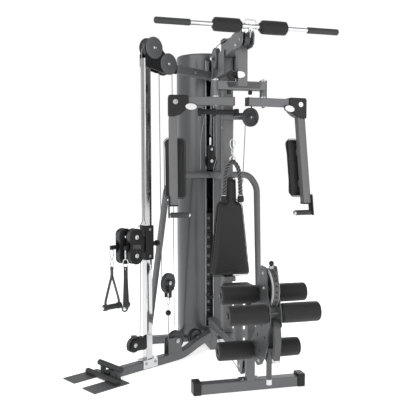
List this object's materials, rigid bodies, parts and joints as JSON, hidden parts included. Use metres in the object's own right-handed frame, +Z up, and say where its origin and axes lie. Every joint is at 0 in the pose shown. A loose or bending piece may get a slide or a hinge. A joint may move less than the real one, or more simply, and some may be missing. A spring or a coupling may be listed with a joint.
{
  "type": "multi station home gym",
  "caption": "Home gym with a shrouded weight stack, press and butterfly arms, lat bar, padded seat, leg lever and a side cable tower.",
  "frame": {"origin": "centre of the rear stabiliser's underside, on the floor", "axes": "+Z up, the user's front is -Y, +X to the right of someone facing the machine"},
  "size_m": [1.5793, 1.7282, 2.0906],
  "materials": {
    "frame_paint": "satin anthracite powder coat",
    "shroud_paint": "satin dark grey powder coat",
    "chrome": "bright chrome",
    "black_plastic": "matt black moulded plastic",
    "pulley_plastic": "dark grey moulded plastic",
    "foam": "black closed cell foam",
    "vinyl": "black upholstery vinyl",
    "rope": "black twisted cord and webbing",
    "cast_plates": "black painted cast plates",
    "cable": "steel cable"
  },
  "bodies": {
    "frame": {"rear_stabiliser": "frame_paint", "front_stabiliser": "frame_paint", "base_spine": "frame_paint", "main_column": "frame_paint", "frame_hoop": "frame_paint", "stack_shroud": "shroud_paint", "weight_plates_lower": "cast_plates", "backrest_pad": "vinyl", "seat_pad": "vinyl", "seat_post": "frame_paint", "leg_frame": "frame_paint", "thigh_roller_left": "foam", "thigh_roller_right": "foam", "lat_boom": "frame_paint", "tower_post": "chrome", "tower_base": "frame_paint", "tower_brace": "frame_paint", "tower_head": "black_plastic", "low_bracket": "black_plastic", "foot_plates": "frame_paint", "tower_cable": "cable", "low_cable": "cable"},
    "front_low_wheel": {"front_low_pulley": "pulley_plastic"},
    "side_wheel": {"side_pulley": "pulley_plastic"},
    "lat_wheel": {"lat_pulley": "pulley_plastic"},
    "top_wheel": {"tower_top_pulley": "pulley_plastic"},
    "second_wheel": {"tower_second_pulley": "pulley_plastic"},
    "floor_wheel": {"floor_pulley": "pulley_plastic"},
    "stack": {"weight_plates_lifted": "cast_plates"},
    "pin": {"selector_pin": "black_plastic"},
    "leg_arm": {"leg_lever": "frame_paint", "adjuster_disc": "frame_paint", "curl_roller_left": "foam", "curl_roller_right": "foam", "ankle_roller_left": "foam", "ankle_roller_right": "foam"},
    "disc_plunger": {"disc_knob": "black_plastic"},
    "press_arm": {"press_lever": "frame_paint", "press_bumper": "black_plastic"},
    "left_arm": {"arm_left": "frame_paint", "arm_cover_left": "black_plastic", "arm_pad_left": "vinyl", "arm_handle_left": "black_plastic"},
    "right_arm": {"arm_right": "frame_paint", "arm_cover_right": "black_plastic", "arm_pad_right": "vinyl", "arm_handle_right": "black_plastic"},
    "pull_bar": {"lat_bar": "chrome", "lat_foam_left": "foam", "lat_foam_right": "foam"},
    "slider": {"carriage": "black_plastic"},
    "slider_plunger": {"carriage_knob": "black_plastic"},
    "front_head": {"pulley_head_front": "black_plastic"},
    "back_head": {"pulley_head_back": "black_plastic"},
    "front_strap": {"strap_handle_front": "rope"},
    "back_strap": {"strap_handle_back": "rope"},
    "rope": {"triceps_rope": "rope"},
    "floater": {"floating_pulley": "pulley_plastic"},
    "lift_block": {"cable_block": "black_plastic"}
  },
  "joints": [
    {"name": "front_low_spin", "type": "hinge", "parent": "frame", "child": "front_low_wheel", "pos_m": [0.00367, -0.9408, 0.105], "axis": [1, 0, 0], "continuous": true},
    {"name": "side_spin", "type": "hinge", "parent": "frame", "child": "side_wheel", "pos_m": [0.12572, -0.67305, 1.5834], "axis": [0.338, -0.9411, 0], "continuous": true},
    {"name": "lat_spin", "type": "hinge", "parent": "frame", "child": "lat_wheel", "pos_m": [0, -0.97125, 2.00025], "axis": [1, 0, 0], "continuous": true},
    {"name": "top_spin", "type": "hinge", "parent": "frame", "child": "top_wheel", "pos_m": [-0.46738, -0.5061, 2.00707], "axis": [-0.5, 0.866, 0], "continuous": true},
    {"name": "second_spin", "type": "hinge", "parent": "frame", "child": "second_wheel", "pos_m": [-0.36554, -0.4473, 1.92045], "axis": [-0.5, 0.866, 0], "continuous": true},
    {"name": "floor_spin", "type": "hinge", "parent": "frame", "child": "floor_wheel", "pos_m": [-0.3037, -0.4116, 0.13125], "axis": [-0.5, 0.866, 0], "continuous": true},
    {"name": "stack_lift", "type": "slide", "parent": "frame", "child": "stack", "axis": [0, 0, 1], "range_m": [0, 0.6]},
    {"name": "pin_pull", "type": "slide", "parent": "stack", "child": "pin", "axis": [0, -1, 0], "range_m": [0, 0.05]},
    {"name": "leg_hinge", "type": "hinge", "parent": "frame", "child": "leg_arm", "pos_m": [0, -1.29465, 0.609], "axis": [-1, 0, 0], "range_deg": [0, 70]},
    {"name": "disc_plunge", "type": "slide", "parent": "leg_arm", "child": "disc_plunger", "axis": [0, -0.153, 0.9882], "range_m": [0, 0.012], "stiffness_N_per_m": 900},
    {"name": "press_hinge", "type": "hinge", "parent": "frame", "child": "press_arm", "pos_m": [0, -0.8925, 1.97925], "axis": [-1, 0, 0], "range_deg": [0, 40]},
    {"name": "left_fly", "type": "hinge", "parent": "press_arm", "child": "left_arm", "pos_m": [-0.1449, -0.85575, 1.659], "axis": [0, 0, 1], "range_deg": [0, 70]},
    {"name": "right_fly", "type": "hinge", "parent": "press_arm", "child": "right_arm", "pos_m": [0.1449, -0.85575, 1.659], "axis": [0, 0, -1], "range_deg": [0, 70]},
    {"name": "lat_pull", "type": "slide", "parent": "frame", "child": "pull_bar", "axis": [0, 0, -1], "range_m": [0, 0.6]},
    {"name": "slider_height", "type": "slide", "parent": "frame", "child": "slider", "axis": [0, 0, 1], "range_m": [-0.15, 0.8]},
    {"name": "slider_plunge", "type": "slide", "parent": "slider", "child": "slider_plunger", "axis": [0.866, 0.5, 0], "range_m": [0, 0.012], "stiffness_N_per_m": 900},
    {"name": "front_head_turn", "type": "hinge", "parent": "slider", "child": "front_head", "pos_m": [-0.5483, -0.58434, 0.7917], "axis": [0, 0, 1], "range_deg": [0, 40]},
    {"name": "back_head_turn", "type": "hinge", "parent": "slider", "child": "back_head", "pos_m": [-0.61044, -0.55232, 0.7917], "axis": [0, 0, -1], "range_deg": [0, 40]},
    {"name": "front_strap_swing", "type": "hinge", "parent": "front_head", "child": "front_strap", "pos_m": [-0.65378, -0.64524, 0.7728], "axis": [-0.866, -0.5, 0], "range_deg": [0, 50]},
    {"name": "back_strap_swing", "type": "hinge", "parent": "back_head", "child": "back_strap", "pos_m": [-0.73502, -0.62425, 0.7728], "axis": [-0.5, 0.866, 0], "range_deg": [0, 50]},
    {"name": "rope_swing", "type": "hinge", "parent": "frame", "child": "rope", "pos_m": [0, -0.7098, 1.4301], "axis": [0, 1, 0], "range_deg": [-15, 15]},
    {"name": "floater_rise", "type": "slide", "parent": "frame", "child": "floater", "axis": [0, 0, 1], "range_m": [0, 0.25]},
    {"name": "block_rise", "type": "slide", "parent": "frame", "child": "lift_block", "axis": [0, 0, 1], "range_m": [0, 0.3]}
  ],
  "couplings": [
    {"joint": "lat_pull", "follows": "stack_lift", "ratio": 1},
    {"joint": "block_rise", "follows": "stack_lift", "ratio": 0.5}
  ]
}
